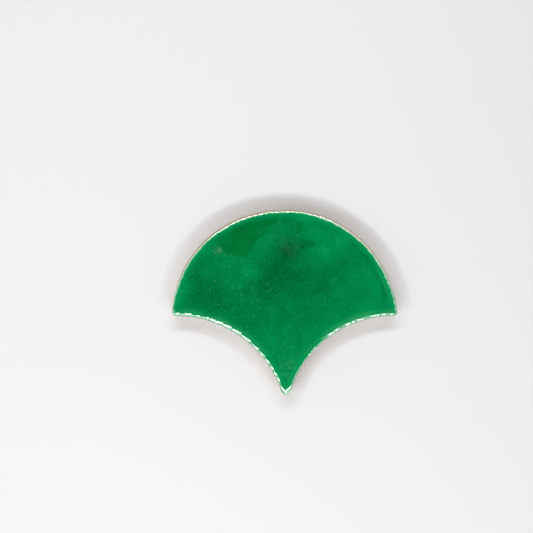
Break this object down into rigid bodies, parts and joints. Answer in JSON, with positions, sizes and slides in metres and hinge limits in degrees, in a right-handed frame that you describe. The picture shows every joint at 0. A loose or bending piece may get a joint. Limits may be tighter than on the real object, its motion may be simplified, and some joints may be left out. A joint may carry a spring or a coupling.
{
  "type": "fish scale tile",
  "caption": "Glazed fish scale tile: a round-headed emerald ceramic unit with hollow flanks meeting at a blunt tip, and a flat bare clay back for bonding to a wall or floor.",
  "frame": {"origin": "middle of the tile's box, on its back face", "axes": "+Z out of the glazed face, +Y towards the round head, -Y towards the blunt tip, +X across the width"},
  "size_m": [0.1294, 0.1062, 0.0125],
  "materials": {
    "glazed_clay": "glossy mottled emerald glaze on the face, thinning to pale mint at the rolled rim; bare pinkish-beige fired clay on the sides and back"
  },
  "bodies": {
    "root": {"fish_scale_tile": "glazed_clay"}
  },
  "joints": []
}
